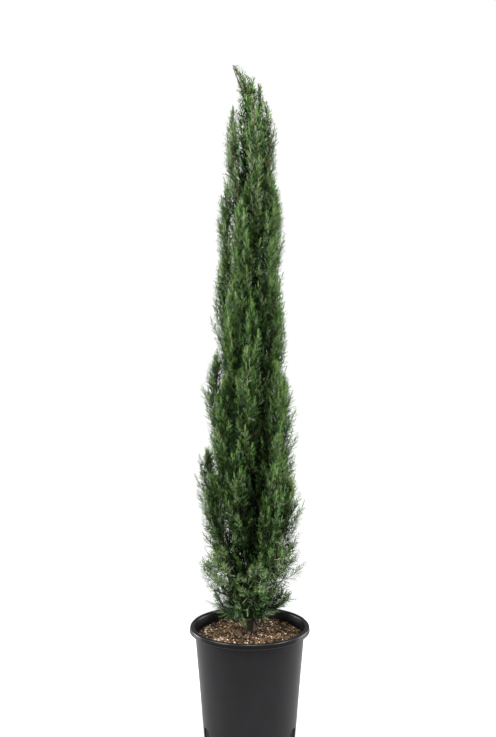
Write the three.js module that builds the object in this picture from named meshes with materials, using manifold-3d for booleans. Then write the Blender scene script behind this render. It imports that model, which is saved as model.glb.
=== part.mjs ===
// Italian cypress growing in a nursery pot, in millimetres, +Z up.
// The origin is the centre of the pot's flat underside, and -Y is the front.
// The tree is a trunk with short boughs at its foot and a narrow crown of upright plumes of foliage.
// Each plume is one closed solid, cut round the trunk and round the plumes outside it.
import * as THREE from "three";
import { mergeVertices } from "three/addons/utils/BufferGeometryUtils.js";
import Module from "manifold-3d";

const wasm = await Module();
wasm.setup();

// ---- Driving dimensions ----

const POT_HEIGHT = 280;
const POT_ROUND = 24; // segments of every turned piece, so that pot and soil share their flats
const RIM_RADIUS = 140;
const RIM_WIDTH = 11;
const LIP_HEIGHT = 13;
const NECK_RADIUS = 127.5; // outside of the wall just under the rim
const FOOT_RADIUS = 107;
const WALL = 2.5;
const DRAIN_COUNT = 8;
const DRAIN_WIDTH = 32;
const DRAIN_HEIGHT = 44;
const DRAIN_DEPTH = 7; // how far a drain notch reaches in from the foot's edge

const SOIL_LEVEL = 256; // at the pot's wall
const MOUND_LEVEL = 265; // round the trunk
const MOUND_RADIUS = 26;

const TREE_TOP = 1557;
const TRUNK_RADIUS = 10.5;
const TIP_RADIUS = 1.6;
const ROOT_FLARE = 7;
const FLARE_HEIGHT = 14;

const GAP = 0.3; // between pieces that touch
const CUT_GAP = 0.8; // by which a mass is grown when it cuts its neighbour
const CORE = 5; // how near the trunk's middle the plumes start
const MASS_SIDES = 6;
const MASS_RINGS = 7;

// Height and radius of the crown's outline, from its ragged skirt to the leader.
const CROWN_OUTLINE = [
  [325, 60], [380, 94], [440, 112], [550, 117], [690, 111], [810, 99], [940, 86],
  [1100, 72], [1240, 68], [1340, 58], [1420, 50], [1480, 38], [1530, 22], [TREE_TOP, 6],
];

// The trunk leans a little to the right at its foot and its leader nods to the left.
// It starts a little under the ground, where it is cut off flat.
const TRUNK_FOOT = MOUND_LEVEL - 8;
const TRUNK_ROUTE = [
  [0, 0, TRUNK_FOOT], [1, -1, 300], [2, 0, 360], [-3, 3, 520], [-2, 1, 760], [2, -2, 1000],
  [4, 0, 1240], [3, 1, 1400], [-1, 0, 1470], [-12, -1, 1515], [-38, -3, TREE_TOP - 6],
];

// ---- Colours and finishes ----

const finish = (color, roughness) => new THREE.MeshStandardMaterial({ color, roughness, metalness: 0 });
const BLACK_PLASTIC = finish(0x2c2c2e, 0.4);
const POTTING_MIX = finish(0x4f3a26, 0.95);
const BARK = finish(0x5a4636, 0.85);
const GREEN = finish(0x40592f, 0.7);
const BLUE_GREEN = finish(0x48604a, 0.7);

// ---- Geometry helpers ----

const radians = THREE.MathUtils.degToRad;
const smooth = (t) => THREE.MathUtils.smoothstep(t, 0, 1);

// The level direction at an azimuth in degrees, anticlockwise from +X.
const outward = (azimuth) => new THREE.Vector3(Math.cos(radians(azimuth)), Math.sin(radians(azimuth)), 0);

// A closed geometry as a solid.
function solidOf(geometry) {
  const bare = geometry.clone();
  bare.deleteAttribute("normal");
  bare.deleteAttribute("uv");
  const merged = mergeVertices(bare, 1e-3);
  return new wasm.Manifold(
    new wasm.Mesh({
      numProp: 3,
      vertProperties: new Float32Array(merged.attributes.position.array),
      triVerts: new Uint32Array(merged.index.array),
    }),
  );
}

// A solid as a geometry with flat faces.
function geometryOf(solid) {
  const mesh = solid.getMesh();
  const indexed = new THREE.BufferGeometry()
    .setAttribute("position", new THREE.BufferAttribute(mesh.vertProperties, 3))
    .setIndex(new THREE.BufferAttribute(mesh.triVerts, 1));
  const flat = indexed.toNonIndexed();
  flat.computeVertexNormals();
  return flat;
}

// A cut can leave crumbs, so only the largest body is kept.
function largestBody(solid) {
  return solid.decompose().reduce((best, body) => (body.volume() > best.volume() ? body : best));
}

const tree = new THREE.Group();

function addPiece(name, solid, material) {
  const mesh = new THREE.Mesh(geometryOf(solid), material);
  mesh.name = name;
  tree.add(mesh);
}

// A profile of radius and height pairs, turned about the Z axis.
function turned(profile) {
  const points = profile.map(([radius, height]) => new THREE.Vector2(radius, height));
  return solidOf(new THREE.LatheGeometry(points, POT_ROUND).rotateX(Math.PI / 2));
}

// The value at x on a line through a few [x, value] stations.
function along(stations, x) {
  const next = stations.findIndex(([at]) => at >= x);
  if (next === 0) return stations[0][1];
  if (next < 0) return stations[stations.length - 1][1];
  const [x0, v0] = stations[next - 1];
  const [x1, v1] = stations[next];
  return v0 + ((v1 - v0) * (x - x0)) / (x1 - x0);
}

// A round limb along a path. A cylinder's rings are carried to the path, each square to it.
function limb(path, sides, steps, radiusAt) {
  const geometry = new THREE.CylinderGeometry(1, 1, 1, sides, steps);
  const place = geometry.attributes.position;
  for (let i = 0; i < place.count; i++) {
    const t = place.getY(i) + 0.5;
    const forward = path.getTangentAt(t);
    const side = new THREE.Vector3(1, 0, 0).addScaledVector(forward, -forward.x).normalize();
    const back = new THREE.Vector3().crossVectors(forward, side);
    const radius = radiusAt(t);
    const point = path.getPointAt(t);
    point.addScaledVector(side, -place.getX(i) * radius);
    point.addScaledVector(back, place.getZ(i) * radius);
    place.setXYZ(i, point.x, point.y, point.z);
  }
  return solidOf(geometry);
}

// ---- Pot and soil ----

// Outside of the pot's wall at a height.
const wallRadius = (z) => FOOT_RADIUS + ((NECK_RADIUS - FOOT_RADIUS) * z) / (POT_HEIGHT - LIP_HEIGHT);

// A bucket with a flat underside and a rolled rim, whose lip hangs clear of the wall.
function potSolid() {
  const neck = POT_HEIGHT - LIP_HEIGHT;
  const lip = RIM_RADIUS - 0.5;
  const corner = 4;
  const profile = [
    [0, 0], [FOOT_RADIUS - corner, 0], [FOOT_RADIUS, corner], [NECK_RADIUS, neck],
    [NECK_RADIUS + 1, POT_HEIGHT - WALL], [lip - WALL, POT_HEIGHT - WALL], [lip - WALL, neck],
    [lip, neck], [RIM_RADIUS, POT_HEIGHT - 3], [RIM_RADIUS - 2, POT_HEIGHT],
    [RIM_RADIUS - RIM_WIDTH, POT_HEIGHT], [NECK_RADIUS - WALL, POT_HEIGHT - 4],
    [NECK_RADIUS - WALL, neck], [wallRadius(WALL) - WALL, WALL], [0, WALL],
  ];
  let pot = turned(profile);
  for (let i = 0; i < DRAIN_COUNT; i++) {
    const angle = ((i + 0.5) * 2 * Math.PI) / DRAIN_COUNT;
    pot = pot.subtract(drainNotch(angle));
  }
  return pot;
}

// An arched drain hole through the wall's foot. It leaves a low sill, so that the pot stands on a whole ring.
function drainNotch(angle) {
  const sill = 5;
  const half = DRAIN_WIDTH / 2;
  const arch = new THREE.Shape();
  arch.moveTo(-half, sill);
  arch.lineTo(half, sill);
  arch.lineTo(half, DRAIN_HEIGHT - half * 0.6);
  arch.quadraticCurveTo(half, DRAIN_HEIGHT, 0, DRAIN_HEIGHT);
  arch.quadraticCurveTo(-half, DRAIN_HEIGHT, -half, DRAIN_HEIGHT - half * 0.6);
  const extrusion = { depth: DRAIN_DEPTH * 3, bevelEnabled: false, curveSegments: 2 };
  const geometry = new THREE.ExtrudeGeometry(arch, extrusion);
  geometry.rotateX(Math.PI / 2).translate(0, -FOOT_RADIUS + DRAIN_DEPTH, 0).rotateZ(angle);
  return solidOf(geometry);
}

// The root ball's mix fills the pot to a finger's breadth under the rim, with a low mound round the trunk.
function soilSolid() {
  const inside = (z) => wallRadius(z) - WALL - GAP;
  const floor = WALL + GAP;
  const profile = [
    [0, floor], [inside(floor) - GAP, floor], [inside(SOIL_LEVEL) - GAP, SOIL_LEVEL],
    [100, SOIL_LEVEL + 2], [60, SOIL_LEVEL + 4], [MOUND_RADIUS, MOUND_LEVEL], [0, MOUND_LEVEL],
  ];
  return turned(profile);
}

// ---- Trunk and boughs ----

const trunkPath = new THREE.CatmullRomCurve3(TRUNK_ROUTE.map((p) => new THREE.Vector3(...p)));
const trunkLength = trunkPath.getLength();

// True taper, with a flare over the roots.
function trunkRadius(t) {
  const taper = TIP_RADIUS + (TRUNK_RADIUS - TIP_RADIUS) * (1 - t) ** 0.9;
  return taper + ROOT_FLARE * Math.exp((-t * trunkLength) / FLARE_HEIGHT);
}

// Everything under the ground, which the trunk is cut off by.
function groundSolid() {
  const depth = 60;
  const level = MOUND_LEVEL + GAP;
  return solidOf(new THREE.BoxGeometry(RIM_RADIUS, RIM_RADIUS, depth).translate(0, 0, level - depth / 2));
}

const trunkSolid = (grow) => limb(trunkPath, 6, 13, (t) => trunkRadius(t) + grow).subtract(groundSolid());

// The trunk's middle at a height. The trunk rises steadily, so a height stands for a share of its length.
function trunkAt(height) {
  const t = THREE.MathUtils.clamp((height - TRUNK_FOOT) / (TREE_TOP - TRUNK_FOOT), 0, 1);
  return trunkPath.getPointAt(t);
}

// A short bough rises out of the trunk's side and bends up into the skirt of foliage.
function boughSolid({ azimuth, from, rise, reach, radius }) {
  const out = outward(azimuth);
  const root = trunkAt(from);
  const elbow = root.clone().addScaledVector(out, reach * 0.6).setZ(from + rise * 0.4);
  const end = root.clone().addScaledVector(out, reach).setZ(from + rise);
  const path = new THREE.QuadraticBezierCurve3(root, elbow, end);
  return limb(path, 5, 3, (t) => radius * (1 - 0.45 * t));
}

const BOUGHS = [
  { azimuth: -14, from: 300, rise: 60, reach: 74, radius: 4.4 },
  { azimuth: 36, from: 296, rise: 86, reach: 60, radius: 3.8 },
  { azimuth: 92, from: 288, rise: 92, reach: 62, radius: 3.8 },
  { azimuth: 148, from: 306, rise: 80, reach: 62, radius: 3.8 },
  { azimuth: 205, from: 298, rise: 86, reach: 62, radius: 4 },
  { azimuth: 256, from: 290, rise: 90, reach: 60, radius: 3.6 },
  { azimuth: 300, from: 314, rise: 72, reach: 60, radius: 3.8 },
];

// ---- Masses of foliage ----

// A mass is a flame-shaped solid with level, oval slices. Their size follows a spindle: it swells from
// the foot and closes to a point at the tip. middle(t, height) gives a slice's centre, and
// halves(height) its half sizes outwards and sideways. grow makes the whole mass larger by that much.
function massSolid({ azimuth, foot, tip, lump, middle, halves }, grow) {
  const geometry = new THREE.SphereGeometry(1, MASS_SIDES, MASS_RINGS);
  const place = geometry.attributes.position;
  const out = outward(azimuth);
  const side = new THREE.Vector3(-out.y, out.x, 0);
  for (let i = 0; i < place.count; i++) {
    const pole = Math.abs(place.getY(i)) > 0.999;
    const t = (1 + place.getY(i)) / 2;
    const angle = Math.atan2(place.getZ(i), place.getX(i));
    const height = foot + (tip - foot) * t + grow * place.getY(i);
    const [depth, width] = halves(height);
    const swell = pole ? 0 : spindle(t) * unevenness(angle, t, lump);
    const spread = pole ? 0 : grow;
    const point = middle(t, height).setZ(height);
    point.addScaledVector(out, Math.cos(angle) * (swell * depth + spread));
    point.addScaledVector(side, -Math.sin(angle) * (swell * width + spread));
    place.setXYZ(i, point.x, point.y, point.z);
  }
  return solidOf(geometry);
}

// Zero at both ends and one at its fullest, a little below the middle.
const spindle = (t) => (1.93 * Math.sqrt(t) * (1 - t) ** 0.8) ** 0.85;

// Lumps that differ from mass to mass.
const unevenness = (angle, t, lump) =>
  1 + 0.08 * Math.sin(2 * angle + 5 * t + lump) + 0.07 * Math.sin(3 * angle - 7 * t + 2.3 * lump);

// A plume fills the crown from the trunk out to the outline, which its reach stretches or draws in.
// Its slices move outwards as it rises, from footOut to tipOut of that depth.
function plume({ azimuth, width, reach, footOut, tipOut, ...rest }) {
  const depthAt = (height) => along(CROWN_OUTLINE, height) * reach - CORE;
  const middle = (t, height) => {
    const distance = CORE + depthAt(height) * THREE.MathUtils.lerp(footOut, tipOut, smooth(t));
    return trunkAt(height).addScaledVector(outward(azimuth), distance);
  };
  return { azimuth, middle, halves: (height) => [depthAt(height) / 2, width], ...rest };
}

// A sprig leans out from near the trunk, from its first radius to its last.
function sprig({ azimuth, from, to, width, ...rest }) {
  const middle = (t, height) =>
    trunkAt(height).addScaledVector(outward(azimuth), THREE.MathUtils.lerp(from, to, t ** 0.7));
  return { azimuth, middle, halves: () => [(to - from) * 0.3, width], ...rest };
}

// Rings of plumes from the skirt to the top. Tips are staggered round each ring, so no ring shows as a step.
const TIERS = [
  {
    name: "skirt", count: 8, phase: 186, tip: 476, stagger: 80,
    length: 112, width: 42, footOut: 0.55, tipOut: 0.84,
  },
  {
    name: "low", count: 8, phase: 75, tip: 678, stagger: 100,
    length: 262, width: 42, footOut: 0.46, tipOut: 0.84,
  },
  {
    name: "middle", count: 8, phase: 180, tip: 892, stagger: 90,
    length: 320, width: 36, footOut: 0.43, tipOut: 0.85,
  },
  {
    name: "upper", count: 7, phase: 20, tip: 1075, stagger: 120,
    length: 335, width: 34, footOut: 0.4, tipOut: 0.84,
  },
  {
    name: "high", count: 5, phase: 178, tip: 1295, stagger: 80,
    length: 330, width: 36, footOut: 0.4, tipOut: 0.87,
  },
  {
    name: "top", count: 6, phase: -18, tip: 1450, stagger: 90,
    length: 300, width: 22, footOut: 0.36, tipOut: 0.86,
  },
];
const GOLDEN = 0.618; // whole turns of it never repeat, so neighbours always differ

function tierPlumes({ name, count, phase, tip, stagger, length, ...shape }, tier) {
  return Array.from({ length: count }, (_, i) => {
    const wander = Math.sin(3.7 * i + 1.9 * tier);
    const step = ((i * GOLDEN + tier * 0.37) % 1) - 0.5;
    const top = tip + stagger * step;
    return plume({
      name: `${name}_plume_${i + 1}`,
      azimuth: phase + (360 * i) / count + 5 * wander,
      foot: top - length * (1 + 0.1 * wander),
      tip: top,
      reach: 1 + 0.05 * Math.cos(5.1 * i + tier),
      lump: 1.7 * i + 2.9 * tier,
      ...shape,
    });
  });
}

// The leader's own foliage is wrapped round the trunk's end, with two side shoots under its tip.
const LEADERS = [
  {
    name: "leader_plume", azimuth: 180, foot: 1400, tip: TREE_TOP, lump: 1,
    middle: (t, height) => trunkAt(height), halves: () => [17, 15],
  },
  sprig({ name: "leader_sprig_1", azimuth: 15, foot: 1395, tip: 1518, from: 9, to: 33, width: 15, lump: 2 }),
  sprig({ name: "leader_sprig_2", azimuth: 320, foot: 1415, tip: 1536, from: 9, to: 19, width: 12, lump: 4 }),
];

// Low shoots close over the ground, fullest on the left, and one hangs out on the right under the skirt.
const FOOT_SPRIGS = [
  sprig({ name: "foot_sprig_1", azimuth: 190, foot: 277, tip: 370, from: 22, to: 86, width: 34, lump: 3 }),
  sprig({ name: "foot_sprig_2", azimuth: 243, foot: 270, tip: 352, from: 18, to: 60, width: 30, lump: 5 }),
  sprig({ name: "foot_sprig_3", azimuth: 80, foot: 280, tip: 350, from: 22, to: 66, width: 24, lump: 6 }),
  sprig({ name: "foot_sprig_4", azimuth: 318, foot: 274, tip: 336, from: 20, to: 52, width: 18, lump: 2 }),
  sprig({ name: "foot_sprig_5", azimuth: 352, foot: 318, tip: 362, from: 48, to: 96, width: 16, lump: 1 }),
];

// ---- Assembly ----

addPiece("pot", potSolid(), BLACK_PLASTIC);
addPiece("soil", soilSolid(), POTTING_MIX);
addPiece("trunk", trunkSolid(0), BARK);

// Each mass is cut by those before it. A lower plume hides the foot of the one above, so it comes first.
let taken = trunkSolid(CUT_GAP);

function addMass(mass, material) {
  addPiece(mass.name, largestBody(massSolid(mass, 0).subtract(taken)), material);
  taken = taken.add(massSolid(mass, CUT_GAP));
}

FOOT_SPRIGS.forEach((mass) => addMass(mass, BLUE_GREEN));
LEADERS.forEach((mass) => addMass(mass, GREEN));
TIERS.flatMap(tierPlumes).forEach((mass) => addMass(mass, GREEN));
BOUGHS.forEach((bough, i) => {
  addPiece(`bough_${i + 1}`, largestBody(boughSolid(bough).subtract(taken)), BARK);
});

export default tree;
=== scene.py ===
# %% [markdown]
# # Italian cypress in a nursery pot
#
# This notebook grows one young Italian cypress, a narrow evergreen whose boughs sweep up along the trunk,
# in its black plastic pot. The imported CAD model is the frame: it says where the pot, the mix, the trunk
# and every mass of foliage are, and each piece made here takes its place from it.

# %% Load the frame
import math

import bpy
import numpy as np
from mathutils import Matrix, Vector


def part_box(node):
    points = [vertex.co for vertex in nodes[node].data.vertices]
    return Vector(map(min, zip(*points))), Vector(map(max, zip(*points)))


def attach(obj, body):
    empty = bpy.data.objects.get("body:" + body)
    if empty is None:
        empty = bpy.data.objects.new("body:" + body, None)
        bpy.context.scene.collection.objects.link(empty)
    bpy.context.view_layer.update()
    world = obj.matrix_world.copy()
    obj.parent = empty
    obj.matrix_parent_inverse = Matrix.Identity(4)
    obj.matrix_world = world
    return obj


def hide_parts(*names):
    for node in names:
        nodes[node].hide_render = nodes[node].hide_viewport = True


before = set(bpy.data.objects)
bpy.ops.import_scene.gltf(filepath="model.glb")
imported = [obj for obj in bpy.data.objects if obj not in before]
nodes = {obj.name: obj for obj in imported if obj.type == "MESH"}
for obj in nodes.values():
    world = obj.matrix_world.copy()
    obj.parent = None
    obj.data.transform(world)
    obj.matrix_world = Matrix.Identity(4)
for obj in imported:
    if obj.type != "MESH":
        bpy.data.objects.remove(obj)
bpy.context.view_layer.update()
rng = np.random.default_rng(11)

# %% [markdown]
# ## Camera and studio
#
# The plant is seen from 3.2 m away, from a little lower than its top. A short telephoto lens keeps the
# pot's rim a flat oval. The studio is a pale floor under a white sky, with a large soft lamp on each side
# and one above the front. Two small low lamps behind the pot light its edges. Such even light could also
# come from the sky alone. Lamps are used because their strengths can be set apart, so that the valleys
# between the plumes stay dark.

# %% Camera and light
CAMERA_PLACE = (-0.004, -3.2, 1.363)
CAMERA_DROP = math.radians(8.53)  # how far below the level it looks
LENS_MM = 69.75
SENSOR_MM = 36.0
CROWN_MIDDLE = (0.0, 0.0, 0.9)
POT_MIDDLE = (0.0, 0.0, 0.2)
LAMPS = {  # where each stands, the point that it shines at, its side in metres and its watts
    "left_lamp": ((-2.3, -1.2, 2.4), CROWN_MIDDLE, 1.5, 120.0),
    "right_lamp": ((2.4, -0.9, 2.2), CROWN_MIDDLE, 1.5, 95.0),
    "top_lamp": ((0.2, -1.4, 3.4), CROWN_MIDDLE, 1.2, 95.0),
    "left_edge_lamp": ((-1.9, 0.9, 0.35), POT_MIDDLE, 0.8, 24.0),
    "right_edge_lamp": ((1.9, 0.9, 0.35), POT_MIDDLE, 0.8, 24.0),
}
BACKDROP_STRENGTH = 1.0
FILL_STRENGTH = 0.32

camera_data = bpy.data.cameras.new("camera")
camera_data.lens = LENS_MM
camera_data.sensor_width = SENSOR_MM
camera = bpy.data.objects.new("camera", camera_data)
camera.location = CAMERA_PLACE
camera.rotation_euler = (math.pi / 2 - CAMERA_DROP, 0.0, 0.0)
bpy.context.scene.collection.objects.link(camera)
bpy.context.scene.camera = camera
bpy.context.scene.view_settings.view_transform = "Standard"


def soft_lamp(name, place, aim, size, watts):
    """A square lamp at a place, turned so that it shines at a point."""
    data = bpy.data.lights.new(name, "AREA")
    data.shape = "SQUARE"
    data.size = size
    data.energy = watts
    lamp = bpy.data.objects.new(name, data)
    lamp.location = place
    gaze = np.subtract(aim, place)
    flat = math.hypot(gaze[0], gaze[1])
    lamp.rotation_euler = (math.atan2(flat, -gaze[2]), 0.0, math.atan2(-gaze[0], gaze[1]))
    bpy.context.scene.collection.objects.link(lamp)


def studio_sky(backdrop, fill):
    """A white sky: as a backdrop it shows at one strength, and it lights the plant at another."""
    sky = bpy.data.worlds.new("studio_sky")
    sky.use_nodes = True
    tree = sky.node_tree
    light, paper = tree.nodes["Background"], tree.nodes.new("ShaderNodeBackground")
    for node, strength in ((light, fill), (paper, backdrop)):
        node.inputs["Color"].default_value = (1.0, 1.0, 1.0, 1.0)
        node.inputs["Strength"].default_value = strength
    mix = tree.nodes.new("ShaderNodeMixShader")
    tree.links.new(tree.nodes.new("ShaderNodeLightPath").outputs["Is Camera Ray"], mix.inputs["Fac"])
    tree.links.new(light.outputs["Background"], mix.inputs[1])
    tree.links.new(paper.outputs["Background"], mix.inputs[2])
    tree.links.new(mix.outputs["Shader"], tree.nodes["World Output"].inputs["Surface"])
    bpy.context.scene.world = sky


for lamp_name, settings in LAMPS.items():
    soft_lamp(lamp_name, *settings)
studio_sky(BACKDROP_STRENGTH, FILL_STRENGTH)

# %% [markdown]
# ## Meshes from arrays
#
# Every piece is worked out as whole arrays of points. A skin is a grid of rings with a pole at each end,
# so it is always closed. Its rings run anticlockwise seen from where they lead, which makes its faces look
# outwards.


# %% Helpers for meshes
UP = np.array([0.0, 0.0, 1.0])
NUDGE = [1e-6, 0.0, 0.0]  # gives an upright line a side


def unit(v):
    """Vectors divided by their own lengths."""
    return v / np.maximum(np.linalg.norm(v, axis=-1, keepdims=True), 1e-9)


def circle(count):
    """Level directions spread evenly all the way round."""
    turn = np.arange(count) * 2 * math.pi / count
    return np.stack([np.cos(turn), np.sin(turn), np.zeros(count)], -1)


def skin_faces(rows, columns):
    """Triangles of a grid of rings. The poles are numbered after the grid, the first ring's first."""
    ring = np.arange(columns)
    after = (ring + 1) % columns
    start = (np.arange(rows - 1) * columns)[:, None]
    a, b = start + ring, start + after
    c, d = b + columns, a + columns
    sides = np.concatenate([np.stack([a, b, c], -1), np.stack([a, c, d], -1)]).reshape(-1, 3)
    first = np.stack([after, ring, np.full(columns, rows * columns)], -1)
    end = (rows - 1) * columns
    last = np.stack([end + ring, end + after, np.full(columns, rows * columns + 1)], -1)
    return np.concatenate([sides, first, last])


def closed(rings, first, last):
    """A grid of rings as one list of points, with a pole at each end, and its faces."""
    return np.concatenate([rings.reshape(-1, 3), [first, last]]), skin_faces(*rings.shape[:2])


def mesh_piece(name, points, faces, finishes, tint=None, smooth=True):
    """One mesh of triangles, with one finish or, where tint gives each triangle's, several."""
    mesh = bpy.data.meshes.new(name)
    mesh.vertices.add(len(points))
    mesh.vertices.foreach_set("co", np.asarray(points, np.float32).ravel())
    mesh.loops.add(faces.size)
    mesh.loops.foreach_set("vertex_index", faces.astype(np.int32).ravel())
    mesh.polygons.add(len(faces))
    mesh.polygons.foreach_set("loop_start", np.arange(0, faces.size, 3, dtype=np.int32))
    mesh.polygons.foreach_set("use_smooth", np.full(len(faces), smooth))
    for finish in finishes:
        mesh.materials.append(finish)
    if tint is not None:
        mesh.polygons.foreach_set("material_index", tint.astype(np.int32))
    mesh.update(calc_edges=True)
    piece = bpy.data.objects.new(name, mesh)
    bpy.context.scene.collection.objects.link(piece)
    return piece


def copies(shape, faces, places, axes):
    """A small shape laid down at many places. Row k of axes[i] is where the shape's own axis k goes, with
    its size."""
    points = places[:, None, :] + np.einsum("vk,nkd->nvd", shape, axes)
    numbers = faces[None] + (np.arange(len(places)) * len(shape))[:, None, None]
    return points.reshape(-1, 3), numbers.reshape(-1, 3)


def tubes(paths, radii, sides):
    """Round skins along many paths of equal length. Each ring lies square to its path, at that path's radii,
    which are one to a ring or, for a relief, one to each of its points."""
    count, rows = paths.shape[:2]
    chord = paths[:, -1] - paths[:, 0]
    level = np.stack([-chord[:, 1], chord[:, 0], np.zeros(count)], -1) + NUDGE
    side = np.repeat(unit(level)[:, None], rows, axis=1)
    forward = unit(np.gradient(paths, axis=1))
    side = unit(side - forward * (side * forward).sum(-1, keepdims=True))
    back = np.cross(forward, side)
    cosine, sine = circle(sides)[:, :2].T
    spoke = side[:, :, None] * cosine[:, None] + back[:, :, None] * sine[:, None]
    radii = np.broadcast_to(radii.reshape(count, rows, -1), (count, rows, sides))
    rings = paths[:, :, None] + spoke * radii[..., None]
    points = np.concatenate([rings.reshape(count, -1, 3), paths[:, :1], paths[:, -1:]], axis=1)
    faces = skin_faces(rows, sides)
    numbers = faces[None] + (np.arange(count) * points.shape[1])[:, None, None]
    return points.reshape(-1, 3), numbers.reshape(-1, 3)


def wave_field(size, waves=8):
    """Headings and phases of plane waves of about that size, running in all directions."""
    heading = unit(rng.normal(size=(waves, 3))) * 2 * math.pi / (size * rng.uniform(0.7, 1.4, (waves, 1)))
    return heading, rng.uniform(0, 2 * math.pi, waves)


def ripples(points, field):
    """The field's waves added up at each point, between about -1 and 1."""
    heading, phase = field
    return np.sin(points @ heading.T + phase).sum(-1) / math.sqrt(len(phase))


# %% [markdown]
# ## Reading the CAD masses
#
# Growing inside a closed mass of foliage needs its middle line and its width at every height. Both could
# be tested point by point with rays. Cutting the solid into level slices is quicker and gives a few
# smooth numbers: an oval for each height.


# %% Slices of a node
TRUNK_SLICES = 60
OVAL_SPAN = (0.04, 0.96)  # shares of a node's height between which its ovals are
LEADER_TIP_RADIUS = 0.0008


def corners_and_edges(node):
    """A CAD node's vertices, and the two ends of each of its edges."""
    mesh = nodes[node].data
    points = np.zeros(len(mesh.vertices) * 3, np.float32)
    mesh.vertices.foreach_get("co", points)
    ends = np.zeros(len(mesh.edges) * 2, np.int32)
    mesh.edges.foreach_get("vertices", ends)
    points = points.reshape(-1, 3).astype(float)
    return points, points[ends.reshape(-1, 2)]


def crossings(edges, line, station):
    """Where edges cross the plane square to a line at a station on it, found by proportion."""
    a, b = edges[:, 0] @ line - station, edges[:, 1] @ line - station
    cut = a * b < 0
    share = (a[cut] / (a[cut] - b[cut]))[:, None]
    return edges[cut, 0] + (edges[cut, 1] - edges[cut, 0]) * share


def ovals(node, count, out):
    """Level slices of a node: heights, middles, half sizes along out and across it, and the node's lowest
    and highest points."""
    points, edges = corners_and_edges(node)
    low, high = points[:, 2].min(), points[:, 2].max()
    heights = low + (high - low) * np.linspace(*OVAL_SPAN, count)
    across = np.array([-out[1], out[0], 0.0])
    middles, halves = [], []
    for height in heights:
        crossing = crossings(edges, UP, height)
        reach, swing = crossing @ out, crossing @ across
        middles.append(out * (reach.max() + reach.min()) / 2 + across * (swing.max() + swing.min()) / 2)
        halves.append([(reach.max() - reach.min()) / 2, (swing.max() - swing.min()) / 2])
    middles = np.array(middles)
    middles[:, 2] = heights
    return heights, middles, np.array(halves), points[points[:, 2].argmin()], points[points[:, 2].argmax()]


def slices(node, line, count, ends):
    """Slices of a node square to any line: their middles and mean radii, from its foot to its tip."""
    points, edges = corners_and_edges(node)
    reach = points @ line
    stations = reach.min() + (reach.max() - reach.min()) * np.linspace(ends, 1 - ends, count)
    middles, radii = [], []
    for station in stations:
        crossing = crossings(edges, line, station)
        middle = (crossing.max(axis=0) + crossing.min(axis=0)) / 2
        middles.append(middle)
        radii.append(np.linalg.norm(crossing - middle, axis=1).mean())
    return np.array(middles), np.array(radii)


def follow(heights, values, at):
    """Rows of values, read at other heights by proportion."""
    return np.stack([np.interp(at, heights, column) for column in np.asarray(values).T], -1)


trunk_out = np.array([1.0, 0.0, 0.0])
trunk_heights, trunk_middles, trunk_halves, trunk_foot, trunk_tip = ovals("trunk", TRUNK_SLICES, trunk_out)
trunk_heights = np.concatenate([trunk_heights, [trunk_tip[2]]])
trunk_middles = np.concatenate([trunk_middles, [trunk_tip]])
trunk_radii = np.concatenate([trunk_halves.min(axis=1), [LEADER_TIP_RADIUS]])
GROUND = trunk_foot[2]
print(f"trunk: from {GROUND:.3f} to {trunk_tip[2]:.3f} m, foot radius {trunk_radii[0]:.4f}")


def trunk_at(height):
    """The trunk's middle at a height, or at each of several."""
    return follow(trunk_heights, trunk_middles, height)


# %% [markdown]
# ## Bark
#
# A young cypress has thin brown bark that splits into fine strips along the trunk. It could be a bump in
# the material alone, but then the outline would stay smooth. Here the furrows are in the mesh: waves
# round the trunk whose places drift slowly with height, with a short ripple that breaks them up. The
# material adds the finest strips and the change of colour between a ridge and a furrow.


# %% Bark finish
BARK_STRIP = 0.004  # width of the finest strips
BARK_STRETCH = (1.0, 1.0, 0.12)
BARK_COLOURS = [(0.3, (0.024, 0.016, 0.010)), (0.5, (0.085, 0.060, 0.040)), (0.72, (0.210, 0.170, 0.130))]


def principled(name, roughness, specular=0.4):
    """A new finish, its node tree and its main shader."""
    finish = bpy.data.materials.new(name)
    finish.use_nodes = True
    shader = finish.node_tree.nodes["Principled BSDF"]
    shader.inputs["Roughness"].default_value = roughness
    shader.inputs["Specular IOR Level"].default_value = specular
    return finish, finish.node_tree, shader


def node_on(tree, kind, output, **inputs):
    """One output of a new node, each of whose inputs is a value or another node's output."""
    node = tree.nodes.new("ShaderNode" + kind)
    for name, value in inputs.items():
        socket = node.inputs[name.replace("_", " ")]
        if isinstance(value, bpy.types.NodeSocket):
            tree.links.new(value, socket)
        else:
            socket.default_value = value
    return node.outputs[output]


def noise_on(tree, size, detail, roughness, stretch=(1.0, 1.0, 1.0)):
    """Noise on object coordinates whose lumps are about that size. A stretch under 1 draws them out."""
    source = node_on(tree, "TexCoord", "Object")
    place = node_on(tree, "Mapping", "Vector", Vector=source, Scale=stretch)
    look = {"Detail": detail, "Roughness": roughness}
    return node_on(tree, "TexNoise", "Fac", Vector=place, Scale=1.0 / size, **look)


def shades(tree, factor, stops):
    """Colours spread over a factor from 0 to 1, each stop a place and a colour."""
    ramp = tree.nodes.new("ShaderNodeValToRGB")
    while len(ramp.color_ramp.elements) < len(stops):
        ramp.color_ramp.elements.new(0.5)
    for element, (place, colour) in zip(ramp.color_ramp.elements, stops):
        element.position = place
        element.color = (*colour, 1.0)
    tree.links.new(factor, ramp.inputs["Fac"])
    return ramp.outputs["Color"]


def bump(tree, shader, height, strength, distance):
    """A fine relief on the shader's normal."""
    normal = node_on(tree, "Bump", "Normal", Height=height, Strength=strength, Distance=distance)
    tree.links.new(normal, shader.inputs["Normal"])


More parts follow.
